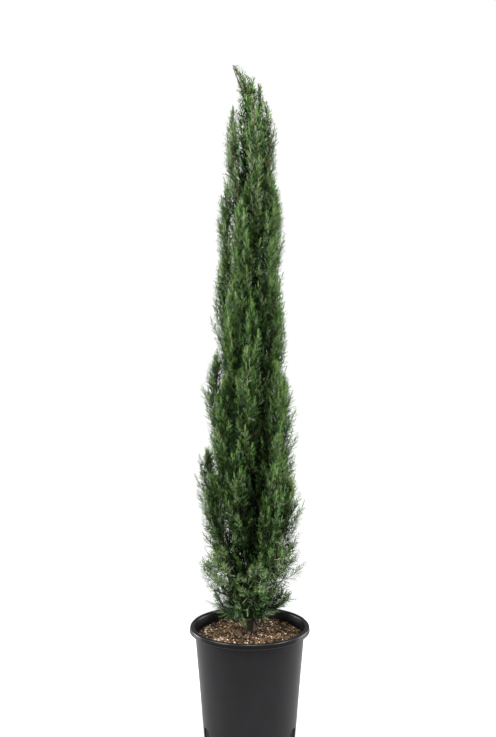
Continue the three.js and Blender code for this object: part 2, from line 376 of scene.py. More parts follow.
def bark_finish():
    """Brown strips along the stem, dark in the furrows and grey on the oldest ridges."""
    finish, tree, shader = principled("cypress_bark", 0.85, 0.25)
    strips = noise_on(tree, BARK_STRIP, 6.0, 0.65, BARK_STRETCH)
    tree.links.new(shades(tree, strips, BARK_COLOURS), shader.inputs["Base Color"])
    bump(tree, shader, strips, 0.6, 0.0015)
    return finish


BARK = bark_finish()

# %% Trunk
TRUNK_COLUMNS = 56
TRUNK_ROWS = 560
ROW_CROWDING = 1.7  # rows lie closer together towards the foot
STRIP_COUNT = 9
STRIP_RELIEF = 0.09  # share of the radius, as the next two are
RIPPLE_RELIEF = 0.04
LOBE_RELIEF = 0.35
ROOT_LOBES = 5
LOBE_HEIGHT = 0.012


def trunk_skin():
    """The radius at a height and turn is the CAD trunk's, times one plus a few waves: strips that drift
    round with height, a short ripple, and lobes that stand out where the roots leave the foot."""
    share = np.linspace(0, 1, TRUNK_ROWS) ** ROW_CROWDING
    height = GROUND + (trunk_tip[2] - GROUND) * share
    turn = np.arange(TRUNK_COLUMNS) * 2 * math.pi / TRUNK_COLUMNS
    h, a = np.meshgrid(height, turn, indexing="ij")
    rise = (h - GROUND) / 0.1
    strips = np.abs(np.sin(STRIP_COUNT / 2 * a + 1.3 * np.sin(rise * 1.7) + 0.8 * rise)) - 0.6
    short = np.sin(5 * a - 23 * rise + 2 * np.sin(9 * rise)) * np.sin(3 * a + 31 * rise)
    lobes = np.maximum(np.sin(ROOT_LOBES * a + 0.6), 0) * np.exp(-(h - GROUND) / LOBE_HEIGHT)
    relief = STRIP_RELIEF * strips + RIPPLE_RELIEF * short + LOBE_RELIEF * lobes
    radius = np.interp(h, trunk_heights, trunk_radii) * (1 + relief)
    middle = trunk_at(height)[:, None]
    spoke = np.stack([np.cos(a), np.sin(a), np.zeros_like(a)], -1)
    points = middle + spoke * radius[..., None]
    points[..., 2] = h
    return closed(points, [*middle[0, 0, :2], GROUND], [*middle[-1, 0, :2], trunk_tip[2]])


trunk_bark = mesh_piece("trunk_bark", *trunk_skin(), [BARK])
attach(trunk_bark, "root")
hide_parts("trunk")
print("trunk bark:", len(trunk_bark.data.polygons), "triangles")


# %% Boughs
BOUGH_ROWS = 44
BOUGH_COLUMNS = 18
BOUGH_SLICES = 8
BOUGH_TAPER = 0.65  # towards the sprays that hide its end
BOUGH_RELIEF = 0.12
BOUGH_RIDGE = 0.015  # how far a bough's length counts in the wave field: less draws its ridges out
RIDGE_WALL = 0.012  # how far its girth counts
BOUGH_NAMES = sorted(name for name in nodes if name.startswith("bough_"))
bark_waves = wave_field(0.006)


def bough_line(node):
    """The middles and radii of a bough's slices, spread evenly along it, from the trunk to its far end."""
    low, high = (np.array(corner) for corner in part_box(node))
    centre = (low + high) / 2
    out = (centre - trunk_at(centre[2])) * [1, 1, 0]
    middles, radii = slices(node, unit(unit(out) * 0.6 + UP * 0.8), BOUGH_SLICES, 0.03)
    share = np.linspace(0, 1, BOUGH_ROWS)
    path = follow(np.linspace(0, 1, len(middles)), middles, share)
    return path, np.interp(share, np.linspace(0, 1, len(radii)), radii)


def ridged_tube(path, radius, columns, length, depth):
    """A tube along a path. Each point's radius is its ring's, times one plus a wave field that is drawn
    out along the path, so its ridges run lengthwise."""
    wall = circle(columns) * RIDGE_WALL
    along = np.linspace(0, 1, len(path))[:, None, None] * [0.0, 0.0, length]
    relief = depth * ripples(wall + along, bark_waves)
    return tubes(path[None], (radius[:, None] * (1 + relief))[None], columns)


bough_paths = []
for name in BOUGH_NAMES:
    path, radius = bough_line(name)
    radius = radius * (1 - BOUGH_TAPER * np.linspace(0, 1, BOUGH_ROWS) ** 2)
    bough_paths.append(path)
    skin = ridged_tube(path, radius, BOUGH_COLUMNS, BOUGH_RIDGE, BOUGH_RELIEF)
    bough_bark = mesh_piece(name.replace("bough", "bough_bark"), *skin, [BARK])
    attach(bough_bark, "root")
    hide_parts(name)
print("boughs:", len(BOUGH_NAMES))

# %% [markdown]
# ## Pot
#
# A nursery pot is blow-moulded in one thin wall: a bucket with rounded corners, whose rim is rolled over
# into a bead and a hanging lip. A turned profile gives all of that in one skin. The arched drain holes
# could be left out of the grid, but their round outline wouldn't follow its rows, so they are cut.


# %% Pot shape
RIM_RADIUS, _, POT_TOP = np.array(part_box("pot")[1])
FOOT_RADIUS = 0.107
NECK_RADIUS = 0.1275
LIP_HEIGHT = 0.013
WALL = 0.0025
BEAD = 0.0054  # radius of the rolled rim
FOOT_CORNER = 0.005
LIP_EDGE = 0.0012
POT_COLUMNS = 192
NECK = POT_TOP - LIP_HEIGHT
HOLLOW_TOP = POT_TOP - 0.006


def wall_radius(height):
    """Outside of the pot's wall at a height."""
    return FOOT_RADIUS + (NECK_RADIUS - FOOT_RADIUS) * height / NECK


def arc(radius, height, size, start, end, count):
    """Points on an arc of a profile, between two angles in degrees, where 90 is up."""
    angle = np.radians(np.linspace(start, end, count))
    return np.stack([radius + size * np.cos(angle), height + size * np.sin(angle)], -1)


def straight(first, last, count):
    """Points evenly spaced on a straight stretch of a profile, without its last point."""
    share = np.linspace(0, 1, count, endpoint=False)[:, None]
    return np.array(first) * (1 - share) + np.array(last) * share


def pot_profile():
    """Radius and height from the underside's middle, up the wall, round the lip and the bead, and down
    inside. The lip hangs clear of the wall, with a hollow under the rim between them."""
    foot = arc(FOOT_RADIUS - FOOT_CORNER, FOOT_CORNER, FOOT_CORNER, -90, -2, 8)
    under = np.array([[NECK_RADIUS + 0.0008, HOLLOW_TOP], [NECK_RADIUS + 0.004, HOLLOW_TOP + 0.0025]])
    lip_inside = np.array([[RIM_RADIUS - WALL - 0.0012, HOLLOW_TOP], [RIM_RADIUS - WALL, NECK + 0.002]])
    lip_edge = arc(RIM_RADIUS - LIP_EDGE, NECK + LIP_EDGE, LIP_EDGE, 180, 360, 9)
    lip_outside = np.array([[RIM_RADIUS - 0.0007, NECK + 0.0035], [RIM_RADIUS - 0.0009, NECK + 0.006]])
    bead = arc(RIM_RADIUS - 0.001 - BEAD, POT_TOP - BEAD, BEAD, 8, 172, 17)
    floor_edge = wall_radius(WALL) - WALL
    inside = straight((NECK_RADIUS - WALL + 0.0006, NECK + 0.002), (floor_edge, WALL + 0.003), 24)
    floor = np.array([[floor_edge - 0.002, WALL], [0.06, WALL], [0.03, WALL]])
    return np.concatenate([
        straight((0.02, 0.0), (FOOT_RADIUS - FOOT_CORNER, 0.0), 5), foot,
        straight(foot[-1], (NECK_RADIUS, NECK), 44)[1:], [[NECK_RADIUS, NECK]],
        under, lip_inside, lip_edge, lip_outside, bead, inside, floor,
    ])


def turned(profile, columns):
    """A profile of radii and heights turned about the Z axis, its ends drawn in to poles on the axis."""
    rings = profile[:, :1, None] * circle(columns) + profile[:, 1:, None] * UP
    return closed(rings, profile[0, 1] * UP, profile[-1, 1] * UP)


DRAIN_COUNT = 8
DRAIN_HALF_WIDTH = 0.016
DRAIN_SILL = 0.005
DRAIN_TOP = 0.044
DRAIN_ARCH = 0.7  # how high an arch's curve is, in half widths
DRAIN_INSIDE = 0.007  # how far a cutter starts inside the foot's radius
DRAIN_OUTSIDE = 0.02


def drain_cutters():
    """Arches carried straight outwards through the foot of the wall, one skin for each drain hole."""
    arch = arc(0.0, 0.0, DRAIN_HALF_WIDTH, 0, 180, 13)
    arch[:, 1] = DRAIN_TOP + (arch[:, 1] - arch[:, 1].max()) * DRAIN_ARCH
    outline = np.concatenate([[[-DRAIN_HALF_WIDTH, DRAIN_SILL], [DRAIN_HALF_WIDTH, DRAIN_SILL]], arch])
    points, faces = [], []
    for k in range(DRAIN_COUNT):
        azimuth = (k + 0.5) * 2 * math.pi / DRAIN_COUNT
        out = np.array([math.cos(azimuth), math.sin(azimuth), 0.0])
        across = np.cross(UP, out)
        ring = outline[:, :1] * across + outline[:, 1:] * UP
        near, far = out * (FOOT_RADIUS - DRAIN_INSIDE), out * (FOOT_RADIUS + DRAIN_OUTSIDE)
        middle = ring.mean(axis=0)
        own_points, own_faces = closed(np.stack([ring + near, ring + far]), middle + near, middle + far)
        faces.append(own_faces + sum(len(p) for p in points))
        points.append(own_points)
    return np.concatenate(points), np.concatenate(faces)


# %% Pot finish
DUST_CLOUD = 0.05  # sizes of the patterns on the plastic
DUST_STRETCH = (1.0, 1.0, 0.6)
SCUFF = 0.0035
GRAIN = 0.0016
NO_SCUFF = (0.60, (0.0, 0.0, 0.0))
FULL_SCUFF = (0.78, (1.0, 1.0, 1.0))
DUSTIER = 1.5  # how much lighter the dust makes the plastic


def height_share(tree, low, high):
    """0 under one height, 1 over another, and even in between."""
    height = node_on(tree, "SeparateXYZ", "Z", Vector=node_on(tree, "TexCoord", "Object"))
    return node_on(tree, "MapRange", "Result", Value=height, From_Min=low, From_Max=high)


def blended(tree, factor, first, second):
    """Two colours mixed by a factor. A colour is a plain one or another node's output."""
    mix = tree.nodes.new("ShaderNodeMix")
    mix.data_type = "RGBA"
    tree.links.new(factor, mix.inputs["Factor"])
    for socket, colour in ((mix.inputs[6], first), (mix.inputs[7], second)):
        if isinstance(colour, tuple):
            socket.default_value = (*colour, 1.0)
        else:
            tree.links.new(colour, socket)
    return mix.outputs[2]


def plastic_finish(name, roughness, specular, dark, light, grain_depth):
    """Black moulded plastic: a gloss that dust dulls in clouds, a speckle of scuffs and a fine grain."""
    finish, tree, shader = principled(name, roughness, specular)
    clouds = noise_on(tree, DUST_CLOUD, 6.0, 0.6, DUST_STRETCH)
    speckle = noise_on(tree, SCUFF, 5.0, 0.7)
    dust = shades(tree, clouds, [(0.35, dark), (0.8, tuple(DUSTIER * level for level in dark))])
    scuffs = shades(tree, speckle, [NO_SCUFF, FULL_SCUFF])
    tree.links.new(blended(tree, scuffs, dust, light), shader.inputs["Base Color"])
    low, high = roughness - 0.04, roughness + 0.08
    gloss = node_on(tree, "MapRange", "Result", Value=clouds, To_Min=low, To_Max=high)
    tree.links.new(gloss, shader.inputs["Roughness"])
    bump(tree, shader, noise_on(tree, GRAIN, 3.0, 0.5), grain_depth, 0.0006)
    return finish


# %% Cut the drain holes and finish the pot
SHARP_EDGE = math.radians(40)
RIM_STARTS = (NECK_RADIUS + 0.0004, NECK - 0.0005)  # radius and height past which a face is on the rim


def cut_by(piece, cutter):
    """The piece with a cutter's shape taken out of it, as a plain mesh."""
    cut = piece.modifiers.new("holes", "BOOLEAN")
    cut.operation = "DIFFERENCE"
    cut.solver = "EXACT"
    cut.object = cutter
    graph = bpy.context.evaluated_depsgraph_get()
    carved = bpy.data.meshes.new_from_object(piece.evaluated_get(graph), depsgraph=graph)
    piece.modifiers.clear()
    piece.data = carved
    bpy.data.objects.remove(cutter)
    return piece


PLASTIC = plastic_finish("black_plastic", 0.4, 0.1, (0.0074, 0.0074, 0.0083), (0.016, 0.016, 0.017), 0.1)
# Painted shade: the rim's plastic is darker than the wall's, for the shaded front of the lip.
RIM_PLASTIC_PAINTED_SHADE = plastic_finish("rim_plastic_painted_shade", 0.3, 0.3, (0.002, 0.002, 0.0023), (0.012, 0.012, 0.012), 0.2)
drains = mesh_piece("drain_cutters", *drain_cutters(), [PLASTIC], smooth=False)
pot = cut_by(mesh_piece("nursery_pot", *turned(pot_profile(), POT_COLUMNS), [PLASTIC, RIM_PLASTIC_PAINTED_SHADE]), drains)
pot.data.set_sharp_from_angle(angle=SHARP_EDGE)
centres = np.zeros(len(pot.data.polygons) * 3, np.float32)
pot.data.polygons.foreach_get("center", centres)
centres = centres.reshape(-1, 3)
on_rim = (np.hypot(centres[:, 0], centres[:, 1]) > RIM_STARTS[0]) & (centres[:, 2] > RIM_STARTS[1])
pot.data.polygons.foreach_set("material_index", on_rim.astype(np.int32))
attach(pot, "root")
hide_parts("pot")
print(f"pot: {len(pot.data.polygons)} faces, rim {RIM_RADIUS * 2:.3f} m across")

# %% [markdown]
# ## Potting mix
#
# The mix is composted bark with chips, crumbs, thin roots and white perlite. A displaced disc alone looks
# like mud, because each bit has its own edge and shadow. So the bed is a displaced skin in the darkest
# colour, and thousands of small closed solids lie on it. They are dealt from a few base shapes.


# %% Bed
BED_ROWS = 70
BED_SIDE_ROWS = 12
BED_COLUMNS = 180
SOIL_TOP = float(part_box("soil")[1][2])
SOIL_DROP = 0.009  # from the mound round the trunk to the wall
MOUND_WIDTH = 0.045
FRONT_RISE = 0.0015
FRONT_WAVE = 0.04
LUMP_ROOM = 0.001  # how far a lump may stand over the CAD mix
BED_CLEARANCE = 0.0006
BED_WAVES = ((0.034, 10, 0.0016), (0.013, 12, 0.0011), (0.005, 14, 0.0006))  # size, number and height
bed_waves = [(wave_field(size, waves), height) for size, waves, height in BED_WAVES]


def mix_level(x, y):
    """Height of the mix: a bell round the trunk, a slight rise at the front, and three sizes of waves."""
    far = np.hypot(x, y)
    bell = np.exp(-((far / MOUND_WIDTH) ** 2))
    level = SOIL_TOP - SOIL_DROP * (1 - bell) - FRONT_RISE * np.sin(y / FRONT_WAVE)
    flat = np.stack([x, y, np.zeros_like(x)], -1)
    for field, size in bed_waves:
        level = level + size * ripples(flat, field)
    return np.minimum(level, SOIL_TOP + LUMP_ROOM)


def bed_skin():
    """Rings from the floor of the pot up its wall, then inwards over the top to the middle."""
    side_height = np.linspace(WALL + 0.001, SOIL_TOP - SOIL_DROP - 0.006, BED_SIDE_ROWS)
    side_radius = wall_radius(side_height) - WALL - BED_CLEARANCE
    edge = wall_radius(SOIL_TOP - SOIL_DROP) - WALL - BED_CLEARANCE
    side = side_radius[:, None, None] * circle(BED_COLUMNS)
    side[..., 2] = side_height[:, None]
    top = np.linspace(edge, 0.001, BED_ROWS)[:, None, None] * circle(BED_COLUMNS)
    top[..., 2] = mix_level(top[..., 0], top[..., 1])
    return closed(np.concatenate([side, top]), side_height[0] * UP, top[-1, :, 2].mean() * UP)


# Painted shade: the mix goes nearly black down its sides, behind the drain holes.
PAINTED_SHADE_MIX = (0.006, 0.004, 0.003)
MIX_CRUMB = 0.0032
MIX_COLOURS = [(0.36, (0.012, 0.006, 0.003)), (0.52, (0.050, 0.028, 0.013)), (0.68, (0.120, 0.075, 0.040))]


def mix_finish():
    """Damp composted bark: nearly black crumbs among brown ones, with a coarse grain. Lower down it is
    painted shade, nearly black, where the mix shows through the drain holes.
    """
    finish, tree, shader = principled("composted_bark", 0.9, 0.2)
    crumbs = noise_on(tree, MIX_CRUMB, 5.0, 0.65)
    top = height_share(tree, SOIL_TOP - SOIL_DROP - 0.03, SOIL_TOP - SOIL_DROP - 0.008)
    colour = blended(tree, top, PAINTED_SHADE_MIX, shades(tree, crumbs, MIX_COLOURS))
    tree.links.new(colour, shader.inputs["Base Color"])
    bump(tree, shader, crumbs, 0.9, 0.002)
    return finish


bed = mesh_piece("mix_bed", *bed_skin(), [mix_finish()])
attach(bed, "root")
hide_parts("soil")

# %% Chips, crumbs and perlite
SLAB = np.array([[x, y, z] for z in (-1, 1) for y in (-1, 1) for x in (-1, 1)], float)
SLAB_FACES = np.array([
    [0, 2, 3], [0, 3, 1], [4, 5, 7], [4, 7, 6], [0, 1, 5], [0, 5, 4],
    [1, 3, 7], [1, 7, 5], [3, 2, 6], [3, 6, 7], [2, 0, 4], [2, 4, 6],
])
LUMP = np.array([[0, 0, -1], [1, 0, 0], [0, 1, 0], [-1, 0, 0], [0, -1, 0], [0, 0, 1]], float)
LUMP_FACES = np.array([
    [0, 2, 1], [0, 3, 2], [0, 4, 3], [0, 1, 4], [5, 1, 2], [5, 2, 3], [5, 3, 4], [5, 4, 1],
])
VARIANTS = 6
MIX_PATCHES = wave_field(0.045)
PATCHINESS = 0.6
DARKER_RIGHT = 6.0  # tone for each metre towards the right: the mix gets darker that way


def scattered(shape, shape_faces, sizes, count, tilt, uneven, sink, rim_gap):
    """Small solids laid on the mix, up to a gap from the wall: uneven versions of a shape, turned and
    tilted at random. sizes gives the range of each half size, and sink how high one lies, in half sizes.
    Returns points, faces and each solid's tone, which drifts over the mix."""
    points, faces, tones, drawn = [], [], [], 0
    edge = wall_radius(SOIL_TOP) - WALL - rim_gap
    for _ in range(VARIANTS):
        share = count // VARIANTS
        far = edge * np.sqrt(rng.random(share))
        turn = rng.uniform(0, 2 * math.pi, share)
        x, y = far * np.cos(turn), far * np.sin(turn)
        half = np.stack([rng.uniform(low, high, share) for low, high in sizes], -1)
        heading, lean = rng.uniform(0, 2 * math.pi, share), rng.normal(0, tilt, (share, 2))
        first = unit(np.stack([np.cos(heading), np.sin(heading), np.sin(lean[:, 0])], -1))
        third = unit(np.cross(first, np.stack([-np.sin(heading), np.cos(heading), np.sin(lean[:, 1])], -1)))
        axes = np.stack([first, np.cross(third, first), third], axis=1) * half[..., None]
        places = np.stack([x, y, mix_level(x, y) + half[:, 2] * sink], -1)
        rough = shape * (1 + rng.uniform(-uneven, uneven, shape.shape))
        tones.append(ripples(places, MIX_PATCHES) - DARKER_RIGHT * x)
        p, f = copies(rough, shape_faces, places, axes)
        points.append(p)
        faces.append(f + drawn)
        drawn += len(p)
    return np.concatenate(points), np.concatenate(faces), np.concatenate(tones)


def plain_finish(name, colour, roughness, specular=0.25):
    """One plain colour, for what is smaller than a pattern on it would be."""
    finish, _, shader = principled(name, roughness, specular)
    shader.inputs["Base Color"].default_value = (*colour, 1.0)
    return finish


def scatter_piece(name, finishes, odds, shape, shape_faces, sizes, **laid):
    """A piece of scattered solids, each of them in one of the finishes, which run from dark to light. The
    odds hold over the whole mix, but the darker ones gather in patches."""
    points, faces, tones = scattered(shape, shape_faces, sizes, **laid)
    tone = rng.normal(0, 1, len(tones)) + PATCHINESS * tones
    tint = np.searchsorted(np.quantile(tone, np.cumsum(odds)[:-1]), tone)
    piece = mesh_piece(name, points, faces, finishes, np.repeat(tint, len(shape_faces)), False)
    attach(piece, "root")
    print(f"{name}: {len(tones)} bits, {len(faces)} triangles")


BITS = {  # colours and roughnesses, from dark to light
    "dark_bark_bit": ((0.018, 0.010, 0.005), 0.85),
    "brown_bark_bit": ((0.075, 0.043, 0.020), 0.8),
    "rust_bark_bit": ((0.150, 0.076, 0.036), 0.8),
    "tan_chip": ((0.290, 0.185, 0.095), 0.8),
    "pale_chip": ((0.500, 0.400, 0.280), 0.8),
    "perlite": ((0.760, 0.730, 0.660), 0.9),
}
BIT_FINISHES = [plain_finish(name, *look) for name, look in BITS.items()]
BARK_BITS = BIT_FINISHES[:5]
PALE_BITS = BIT_FINISHES[4:]
CHIP_ODDS = (0.36, 0.30, 0.20, 0.10, 0.04)
CRUMB_ODDS = (0.38, 0.30, 0.19, 0.09, 0.04)
PERLITE_ODDS = (0.2, 0.8)
CHIP_SIZES = ((0.0017, 0.0047), (0.0010, 0.0025), (0.0005, 0.0012))
CRUMB_SIZES = ((0.0007, 0.0018), (0.0007, 0.0015), (0.0005, 0.0012))
PERLITE_SIZES = ((0.0013, 0.0031), (0.0012, 0.0026), (0.0009, 0.0020))
scatter_piece("bark_chips", BARK_BITS, CHIP_ODDS, SLAB, SLAB_FACES, CHIP_SIZES,
              count=3600, tilt=0.32, uneven=0.35, sink=0.5, rim_gap=0.006)
scatter_piece("bark_crumbs", BARK_BITS, CRUMB_ODDS, LUMP, LUMP_FACES, CRUMB_SIZES,
              count=7800, tilt=0.6, uneven=0.3, sink=0.7, rim_gap=0.003)
scatter_piece("perlite_grains", PALE_BITS, PERLITE_ODDS, LUMP, LUMP_FACES, PERLITE_SIZES,
              count=230, tilt=0.6, uneven=0.25, sink=1.1, rim_gap=0.006)

# %% Thin roots on the mix, and the surface root at the trunk
FIBRE_ROWS = 7
FIBRE_COUNT = 110
FIBRE_RADII = (0.00045, 0.0002)  # at its ends
FIBRE_STEPS = (0.0015, 0.0045)
FIBRE_ARCH = 0.004


def fibre_paths():
    """Thin roots that wander over the mix: each heading turns by a steady random amount as it goes."""
    far = (wall_radius(SOIL_TOP) - 0.02) * np.sqrt(rng.random(FIBRE_COUNT))
    turn = rng.uniform(0, 2 * math.pi, FIBRE_COUNT)
    heading = rng.uniform(0, 2 * math.pi, FIBRE_COUNT)[:, None]
    heading = heading + rng.normal(0, 0.35, (FIBRE_COUNT, FIBRE_ROWS)).cumsum(axis=1)
    step = rng.uniform(*FIBRE_STEPS, FIBRE_COUNT)[:, None]
    x = (far * np.cos(turn))[:, None] + (np.cos(heading) * step).cumsum(axis=1)
    y = (far * np.sin(turn))[:, None] + (np.sin(heading) * step).cumsum(axis=1)
    inside = (wall_radius(SOIL_TOP) - 0.006) / np.maximum(np.hypot(x, y), 1e-6)
    x, y = x * np.minimum(inside, 1), y * np.minimum(inside, 1)
    arch = np.sin(np.linspace(0, math.pi, FIBRE_ROWS)) * rng.uniform(0.0, FIBRE_ARCH, (FIBRE_COUNT, 1))
    return np.stack([x, y, mix_level(x, y) + 0.0008 + arch], -1)


def tapering_tubes(paths, radii, sides):
    """Round skins along paths of equal length, each tapering evenly from its first radius to its last."""
    rows = np.linspace(*radii, paths.shape[1])
    return tubes(paths, np.repeat(rows[None], len(paths), axis=0), sides)


ROOT_THREAD = plain_finish("root_thread", (0.330, 0.220, 0.130), 0.8)
fibres = mesh_piece("thin_roots", *tapering_tubes(fibre_paths(), FIBRE_RADII, 4), [ROOT_THREAD])
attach(fibres, "root")

KNEE_ROWS = 60
KNEE_COLUMNS = 20
KNEE_HALF_WIDTH = 0.0125
KNEE_REACH = 0.0264
KNEE_RADII = (0.0046, 0.0034)
KNEE_LUMPS = 0.0008
KNEE_RIDGE = 0.03
KNEE_RELIEF = 0.16


def knee_skin():
    """A root that leaves the trunk's foot on one side, loops round in front and dives in on the other: half
    an ellipse seen from above, whose two ends go down under the mix."""
    share = np.linspace(0, 1, KNEE_ROWS)
    angle = math.pi * (1 + share)
    x = trunk_foot[0] + 0.002 + KNEE_HALF_WIDTH * np.cos(angle)
    y = -0.012 + KNEE_REACH * np.sin(angle)
    z = mix_level(x, y) + 0.0035 + 0.004 * np.cos(angle * 2) - 0.010 * share**6
    radius = np.linspace(*KNEE_RADII, KNEE_ROWS) + KNEE_LUMPS * np.sin(share * 17)
    return ridged_tube(np.stack([x, y, z], -1), radius, KNEE_COLUMNS, KNEE_RIDGE, KNEE_RELIEF)


knee = mesh_piece("surface_root", *knee_skin(), [BARK])
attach(knee, "root")

# %% [markdown]
# ## Growing the crown
#
# On the real tree each plume is a bough that bends up beside the trunk, and every shoot on it does the
# same one size smaller. So the crown is grown by one rule used three times. A limb runs up the middle of
# each mass. Feathers leave the limb at the golden angle and end on the mass's surface. Sprigs leave the
# feathers in the same way, and each sprig is a flat spray of scaly shoots. Leaf cards with pictures would
# be lighter, but a shoot made as a small closed blade keeps its own outline from every side.


# %% Limbs
MASS_SLICES = 12
LOWEST_FORK = GROUND + 0.012
LIMB_RISE = 0.9  # how far under its mass a limb leaves the trunk, for each unit that it runs out


def limb_of(node):
    """A mass as ovals, with a limb through it: a route from the trunk, up the middles, to the tip."""
    low, high = (np.array(c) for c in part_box(node))
    centre = (low + high) / 2
    out = unit((centre - trunk_at(centre[2])) * [1, 1, 0])
    heights, middles, halves, _, tip = ovals(node, MASS_SLICES, out)
    gap = np.linalg.norm((middles[0] - trunk_at(heights[0]))[:2])
    root = trunk_at(max(LOWEST_FORK, heights[0] - LIMB_RISE * gap))
    stations = np.concatenate([[root], middles, [tip]])
    route = stations.copy()
    route[1:-1] = (stations[:-2] + 2 * stations[1:-1] + stations[2:]) / 4
    limb = {"node": node, "out": out, "route": route, "tip": tip}
    return {**limb, "heights": heights, "middles": middles, "halves": halves}


def along_route(route, share):
    """Points at shares of a route's length, by proportion between its stations, and that length."""
    steps = np.linalg.norm(np.diff(route, axis=0), axis=1)
    run = np.concatenate([[0], np.cumsum(steps)])
    return follow(run, route, share * run[-1]), run[-1]


TIERS = ("skirt", "low", "middle", "upper", "high", "top", "leader", "foot")
masses = {tier: [limb_of(n) for n in sorted(nodes) if n.startswith(tier + "_")] for tier in TIERS}
print("masses:", {tier: len(found) for tier, found in masses.items()})

# %% Feathers
GOLDEN_ANGLE = math.radians(137.5)
FEATHER_SPACING = 0.0048  # along a limb
TURN_SPREAD = 0.4  # in radians, either way
# For each tier: a feather's rise for each unit that it runs out, its end's place on the oval, its spacing,
# and how much of a mass's width its feathers fill. Less than all of it leaves dark valleys between plumes.
HABIT = {
    "skirt": (0.55, 1.16, 1.3, 0.95),
    "low": (1.0, 1.0, 1.0, 0.88),
    "middle": (1.15, 1.0, 1.0, 0.88),
    "upper": (1.25, 0.95, 1.0, 0.92),
    "high": (1.4, 0.98, 0.95, 1.0),
    "top": (1.5, 1.02, 1.3, 1.1),
    "leader": (1.6, 1.15, 1.1, 1.0),
    "foot": (0.3, 1.1, 0.95, 1.1),
}
TIP_ROOM = 0.016  # under a mass's tip, for the last sprig
LOWEST_FEATHER = GROUND + 0.034  # the trunk's foot is bare
TIP_TAPER = 0.06  # a plume's feathers draw in to a point over this height
BLUNTNESS = 0.25
INWARD = -0.35  # cosine of the turn past which a feather faces the trunk
INNER_SHARE = 0.45  # of the feathers that face the trunk, the share that is kept
THINNEST = 1e-4


def bent(start, end, out, up):
    """Quadratic curves' three points. The middle one lies at a share of the way out and another of the way
    up, and where it is further out than up, the curve turns upwards."""
    return np.stack([start, start + (end - start) * np.array([out, out, up]), end], axis=1)


def feathers_of(limb, rise_share, reach, spread, width):
    """Bent lines from a limb out to its mass's ovals. Each starts lower than it ends and turns upwards.
    Returns curves, and how far each faces away from the trunk, from -1 to 1."""
    run = along_route(limb["route"], np.array([1.0]))[1]
    count = int(run / (FEATHER_SPACING * spread))
    share = (np.arange(count) + rng.uniform(0, 1, count)) / count
    start = along_route(limb["route"], share)[0]
    turn = np.arange(count) * GOLDEN_ANGLE + rng.uniform(-TURN_SPREAD, TURN_SPREAD, count)
    lowest = max(limb["heights"][0] - 0.02, LOWEST_FEATHER)
    kept = (start[:, 2] > lowest) & ((np.cos(turn) > INWARD) | (rng.random(count) < INNER_SHARE))
    start, turn = start[kept], turn[kept]
    out = limb["out"]
    across = np.array([-out[1], out[0], 0.0])
    heading = out * np.cos(turn)[:, None] + across * np.sin(turn)[:, None]
    size = np.linalg.norm(follow(limb["heights"], limb["halves"], start[:, 2]), axis=1)
    top = limb["tip"][2]
    rise = size * rise_share * rng.uniform(0.7, 1.3, len(turn))
    height = np.minimum(start[:, 2] + rise, top - TIP_ROOM)
    half = follow(limb["heights"], limb["halves"], height)
    fade = np.clip((top - height) / (top - limb["heights"][-1] + 1e-6), 0, 1)[:, None]
    half = np.where(height[:, None] > limb["heights"][-1], half * fade, half) * [1.0, width]
    half = half * np.clip(BLUNTNESS + (top - height) / TIP_TAPER, 0, 1)[:, None]
    half = half.clip(THINNEST)
    edge = 1 / np.hypot(np.cos(turn) / half[:, 0], np.sin(turn) / half[:, 1])
    middle = follow(limb["heights"], limb["middles"], height)
    end = middle + heading * (edge * reach * rng.uniform(0.62, 1.08, len(turn)))[:, None]
    end[:, 2] = height + rng.uniform(0.0, 0.01, len(turn))
    return bent(start, end, 0.62, 0.3), np.cos(turn)


def curve_at(three, share):
    """Points and headings on quadratic curves, each at its own share."""
    s = share[:, None]
    place = three[:, 0] * (1 - s) ** 2 + three[:, 1] * 2 * s * (1 - s) + three[:, 2] * s**2
    heading = (three[:, 1] - three[:, 0]) * (1 - s) + (three[:, 2] - three[:, 1]) * s
    return place, unit(heading)


# %% Feathers inside the crown
CROWN_FOOT = 0.30
CROWN_TOP = 1.49
INNER_SPACING = 0.0025
INNER_REACH = ([0.4, 0.7, 1.1, 1.4], [0.85, 0.6, 0.58, 0.78])  # heights, and shares of the crown's radius
SHORTEST_INNER = 0.3
INNER_RISE = (0.9, 1.6)  # for each unit that a feather runs out


def crown_radius(height):
    """How far the foliage reaches from the trunk at a height: the mean over the masses that are there."""
    total, found = np.zeros(len(height)), np.zeros(len(height))
    for tier in TIERS[:-1]:
        for limb in masses[tier]:
            aside = (limb["middles"] - trunk_at(limb["heights"]))[:, :2]
            far = np.linalg.norm(aside, axis=1) + limb["halves"][:, 0]
            here = (height > limb["heights"][0]) & (height < limb["heights"][-1])
            total += np.where(here, np.interp(height, limb["heights"], far), 0)
            found += here
    return np.where(found > 0, total / np.maximum(found, 1), 0.01)


def inner_feathers():
    """Short feathers that leave the trunk at the golden angle and end halfway to the crown's surface, or
    further out near the foot and the top, where the plumes are few. They stand in the plumes' shade."""
    count = int((CROWN_TOP - CROWN_FOOT) / INNER_SPACING)
    share = (np.arange(count) + rng.uniform(0, 1, count)) / count
    height = CROWN_FOOT + (CROWN_TOP - CROWN_FOOT) * share
    turn = np.arange(count) * GOLDEN_ANGLE + rng.uniform(-TURN_SPREAD, TURN_SPREAD, count)
    start = trunk_at(height)
    reach = crown_radius(height + 0.03) * rng.uniform(SHORTEST_INNER, np.interp(height, *INNER_REACH))
    heading = np.stack([np.cos(turn), np.sin(turn), np.zeros(count)], -1)
    rise = reach * rng.uniform(*INNER_RISE, count) + 0.006
    return bent(start, start + heading * reach[:, None] + UP * rise[:, None], 0.62, 0.35)


# %% Feathers on the low boughs
BOUGH_FEATHERS = 15
BARE_SHARE = 0.42  # of a bough, from the trunk
BOUGH_FEATHER_LENGTHS = (0.016, 0.036)


